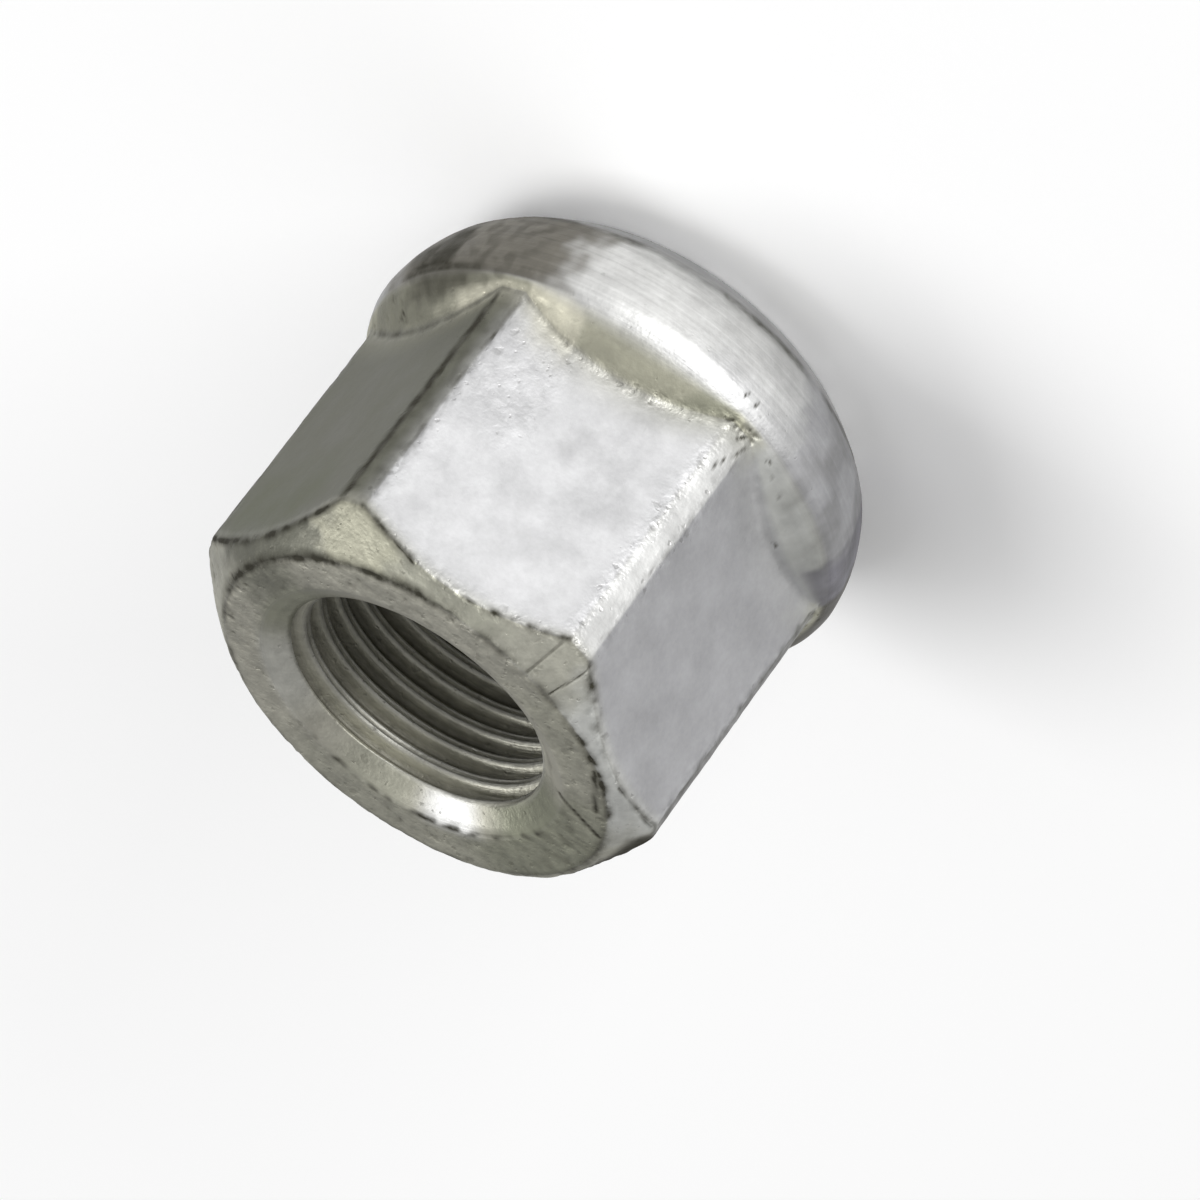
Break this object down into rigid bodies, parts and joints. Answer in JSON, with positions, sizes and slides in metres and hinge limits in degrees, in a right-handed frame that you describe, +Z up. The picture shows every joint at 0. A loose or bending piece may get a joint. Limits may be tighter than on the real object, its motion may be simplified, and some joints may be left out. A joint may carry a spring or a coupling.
{
  "type": "wheel nut",
  "caption": "Zinc-plated steel wheel nut: chamfered hexagon running out into a round collar with a ball seat, and a threaded through bore countersunk at both ends.",
  "frame": {"origin": "centre of the seat end, on the axis of the bore, where the nut stands on its seat end", "axes": "+Z up along the bore to the flat outer face; +X to a corner of the hexagon, +Y to the middle of a flat"},
  "size_m": [0.0282, 0.0282, 0.0248],
  "materials": {
    "zinc_plated_steel": "forged steel with a dull, handled zinc plate: fine pits and rubs, bare nicked edges, dark grime along the edges and in the thread"
  },
  "bodies": {
    "root": {"wheel_nut": "zinc_plated_steel"}
  },
  "joints": []
}
